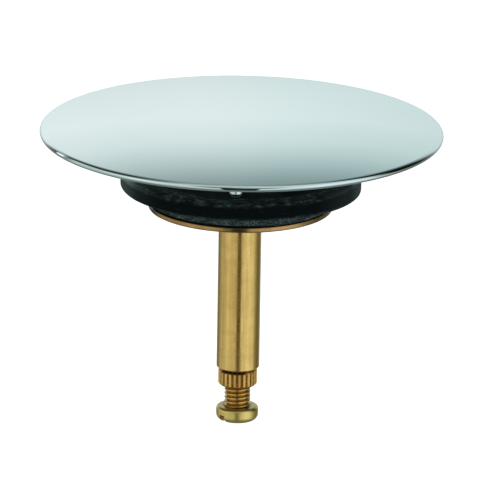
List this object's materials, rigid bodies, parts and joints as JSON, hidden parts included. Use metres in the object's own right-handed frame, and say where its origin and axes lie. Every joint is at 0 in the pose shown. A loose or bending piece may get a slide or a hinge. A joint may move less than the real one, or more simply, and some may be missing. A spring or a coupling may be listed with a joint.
{
  "type": "drain stopper",
  "caption": "Bath waste stopper: domed chrome cover over a stepped rubber seal, on a round brass guide stem with a height screw and a knurled lock nut at its foot.",
  "frame": {"origin": "on the stem's axis where the stem meets the underside of the clamp washer", "axes": "+Z along the stem's axis up to the cover; -Y towards the side that the picture shows; +X to the right in the picture"},
  "size_m": [0.075, 0.075, 0.0596],
  "materials": {
    "chrome": "bright chrome plate, mirror polished",
    "rubber": "moulded black rubber, matte with dust and scuffs",
    "washer_brass": "stamped brass, slightly browned edge",
    "stem_brass": "bright drawn brass bar with fine lengthwise lines",
    "nut_brass": "turned and straight knurled brass",
    "screw_brass": "turned brass with a rolled thread"
  },
  "bodies": {
    "stopper": {"cover_disc": "chrome", "profile_seal": "rubber", "clamp_washer": "washer_brass", "threaded_stud": "stem_brass", "stem": "stem_brass"},
    "nut": {"lock_nut": "nut_brass"},
    "screw": {"adjusting_screw": "screw_brass"}
  },
  "joints": [
    {"name": "adjuster_turn", "type": "hinge", "parent": "stopper", "child": "nut", "pos_m": [0, 0, -0.03295], "axis": [0, 0, -1], "range_deg": [-1800.5, 3240.5]},
    {"name": "adjuster_travel", "type": "slide", "parent": "nut", "child": "screw", "axis": [0, 0, -1], "range_m": [-0.004, 0.0072]}
  ],
  "couplings": [
    {"joint": "adjuster_turn", "follows": "adjuster_travel", "rad_per_m": 7854}
  ]
}
